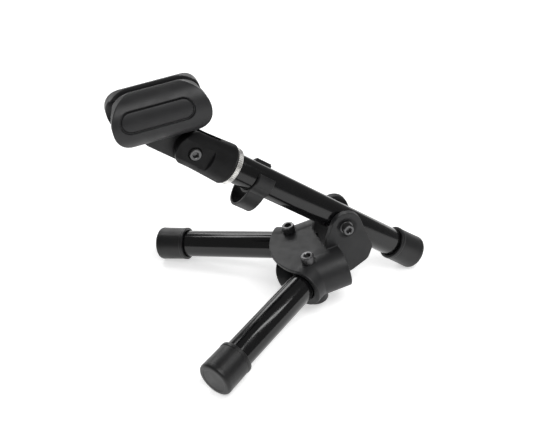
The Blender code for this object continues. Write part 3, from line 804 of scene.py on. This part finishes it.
def make_mic_clip(looks):
    rear = CHANNEL_X - 0.5 * CLIP_LENGTH
    front = CHANNEL_X + 0.5 * CLIP_LENGTH
    body = rod(CLIP_R, rear, front, 'x', (0.0, CHANNEL_Z), 160)
    low = CHANNEL_Z + CLIP_BOTTOM
    high = CHANNEL_Z + CLIP_TOP
    corners = [(rear + 1.2, low, CLIP_END_R), (front - 0.6, low, CLIP_END_R),
               (front + 0.7, high, CLIP_END_R), (rear - 1.2, high, CLIP_END_R)]
    keep(body, prism(rounded(corners, 24), -40.0, 40.0, 'y'))
    foot = math.degrees(math.asin(8.0 / TONGUE_R))
    tongue = arc(0.0, 0.0, TONGUE_R, -foot, -188.0, 60)
    tongue += [(-5.4, 12.0), (-3.4, 15.4), (-3.0, 18.0), (31.0, 18.0), (31.9, 14.8), (29.2, 10.7)]
    add(body, prism(tongue, -TONGUE_HALF, TONGUE_HALF, 'y'))
    cut(body, drill(CHANNEL_R, rear - 5.0, front + 5.0, 'x', (0.0, CHANNEL_Z), 128))
    lip = [(MOUTH_HALF + 2.2, CHANNEL_Z + 24.0), (MOUTH_HALF, CHANNEL_Z + 17.2),
           (MOUTH_HALF, CHANNEL_Z + 14.2), (MOUTH_HALF + 2.4, CHANNEL_Z + 9.0)]
    mouth = [(-out, height) for out, height in lip] + lip[::-1]
    cut(body, prism(mouth, rear - 5.0, front + 5.0, 'x'))
    height = CHANNEL_Z + PANEL_RISE
    panel = stadium(PANEL_X, height, PANEL_LENGTH, PANEL_HEIGHT)
    island = stadium(PANEL_X, height, PANEL_LENGTH - 2.6, PANEL_HEIGHT - 2.6)
    for side in SIDES.values():
        span = sorted((side * 0.4 * CLIP_R, side * (CLIP_R + 6.0)))
        recess = prism(panel, *span, 'y')
        core = (rear - 9.0, front + 9.0, 'x', (0.0, CHANNEL_Z), 160)
        cut(recess, rod(CLIP_R - PANEL_DEPTH, *core))
        cut(body, recess)
        groove = prism(panel, *span, 'y')
        cut(groove, prism(island, *span, 'y'))
        cut(groove, rod(CLIP_R - GROOVE_DEPTH, *core))
        cut(body, groove)
    cut(body, drill(M5_HOLE_R, -20.0, 20.0, 'y'))
    mould(body, HEAD_GRID, 4)
    finish(body, 'push_in_mic_clip', CLIP, looks['clip_rubber'], 'clip_rubber', 'clip', 'mic_clip')


# ------------------------------------------------------------------- stage

def make_stage():
    """White paper that glows a little, in a studio that is bright only behind the object."""
    half = 4000.0
    corners = [(-half, -half, 0.0), (half, -half, 0.0), (half, half, 0.0), (-half, half, 0.0)]
    floor = solid(corners, [[0, 1, 2, 3]])
    floor.data.transform(Matrix.Scale(MM, 4))
    floor.name = 'studio_floor'
    look = Look('white_paper', (0.86, 0.86, 0.86), (0.90, 0.90, 0.90), (0.80, 0.90))
    look.shader.inputs['Emission Color'].default_value = (1.0, 1.0, 1.0, 1.0)
    look.shader.inputs['Emission Strength'].default_value = PAPER_GLOW
    floor.data.materials.append(look.material)

    world = bpy.data.worlds.new('studio')
    world.use_nodes = True
    nodes = world.node_tree.nodes
    links = world.node_tree.links
    coordinates = nodes.new('ShaderNodeTexCoord')
    facing = nodes.new('ShaderNodeVectorMath')
    facing.operation = 'DOT_PRODUCT'
    facing.inputs[1].default_value = (0.0, 0.819, -0.574)
    fade = nodes.new('ShaderNodeValToRGB')
    fade.color_ramp.elements[0].position = 0.50
    fade.color_ramp.elements[0].color = (0.20, 0.20, 0.20, 1.0)
    fade.color_ramp.elements[1].position = 0.71
    fade.color_ramp.elements[1].color = (1.50, 1.50, 1.50, 1.0)
    links.new(coordinates.outputs['Generated'], facing.inputs[0])
    links.new(facing.outputs['Value'], fade.inputs['Fac'])
    links.new(fade.outputs['Color'], nodes['Background'].inputs['Color'])
    bpy.context.scene.world = world


def soft_light(name, place, target, width, height, power):
    data = bpy.data.lights.new(name, 'AREA')
    data.shape = 'RECTANGLE'
    data.size = width
    data.size_y = height
    data.energy = power
    lamp = bpy.data.objects.new(name, data)
    bpy.context.scene.collection.objects.link(lamp)
    lamp.location = place
    aim = Vector(target) - Vector(place)
    lamp.rotation_euler = aim.to_track_quat('-Z', 'Y').to_euler()
    return lamp


def make_lights():
    target = (0.0, 0.0, 0.05)
    soft_light('front_softbox', (0.15, -0.66, 1.12), target, 0.8, 0.55, 8.0)
    soft_light('side_strip', (0.68, -0.23, 1.08), target, 0.13, 0.60, 1.9)
    soft_light('top_softbox', (-0.42, 0.66, 1.05), target, 0.32, 0.32, 1.6)
    soft_light('back_softbox', (0.15, 1.15, 0.85), target, 0.9, 0.4, 4.5)


def make_camera():
    """Camera at the fitted distance and direction from the boom bolt."""
    bolt = Vector((BOLT_X * MM, 0.0, BOLT_Z * MM))
    turn = math.radians(CAMERA_TURN)
    rise = math.radians(CAMERA_RISE)
    tilt = math.radians(CAMERA_ROLL)
    right = Vector((math.cos(turn), -math.sin(turn), 0.0))
    ahead = math.cos(rise)
    forward = Vector((math.sin(turn) * ahead, math.cos(turn) * ahead, -math.sin(rise)))
    up = right.cross(forward)
    level_right = math.cos(tilt) * right + math.sin(tilt) * up
    level_up = math.cos(tilt) * up - math.sin(tilt) * right
    data = bpy.data.cameras.new('camera')
    data.sensor_width = 36.0
    data.lens = CAMERA_LENS
    data.clip_start = 0.01
    camera = bpy.data.objects.new('camera', data)
    bpy.context.scene.collection.objects.link(camera)
    basis = Matrix((level_right, level_up, -forward)).transposed().to_4x4()
    camera.matrix_world = Matrix.Translation(bolt + Vector(CAMERA_FROM_BOLT)) @ basis
    bpy.context.scene.camera = camera


def main():
    looks = make_looks()
    make_camera()
    make_hub(looks)
    for side_name in SIDES:
        make_leg(side_name, looks)
    make_boom(looks)
    make_cable_clip(looks)
    make_head(looks)
    make_mic_clip(looks)
    for side_name in SIDES:
        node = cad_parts['leg_plug_' + side_name]
        for material_slot in node.material_slots:
            material_slot.material = looks['plastic']
    make_stage()
    make_lights()
    bpy.context.scene.view_settings.view_transform = 'Standard'


main()
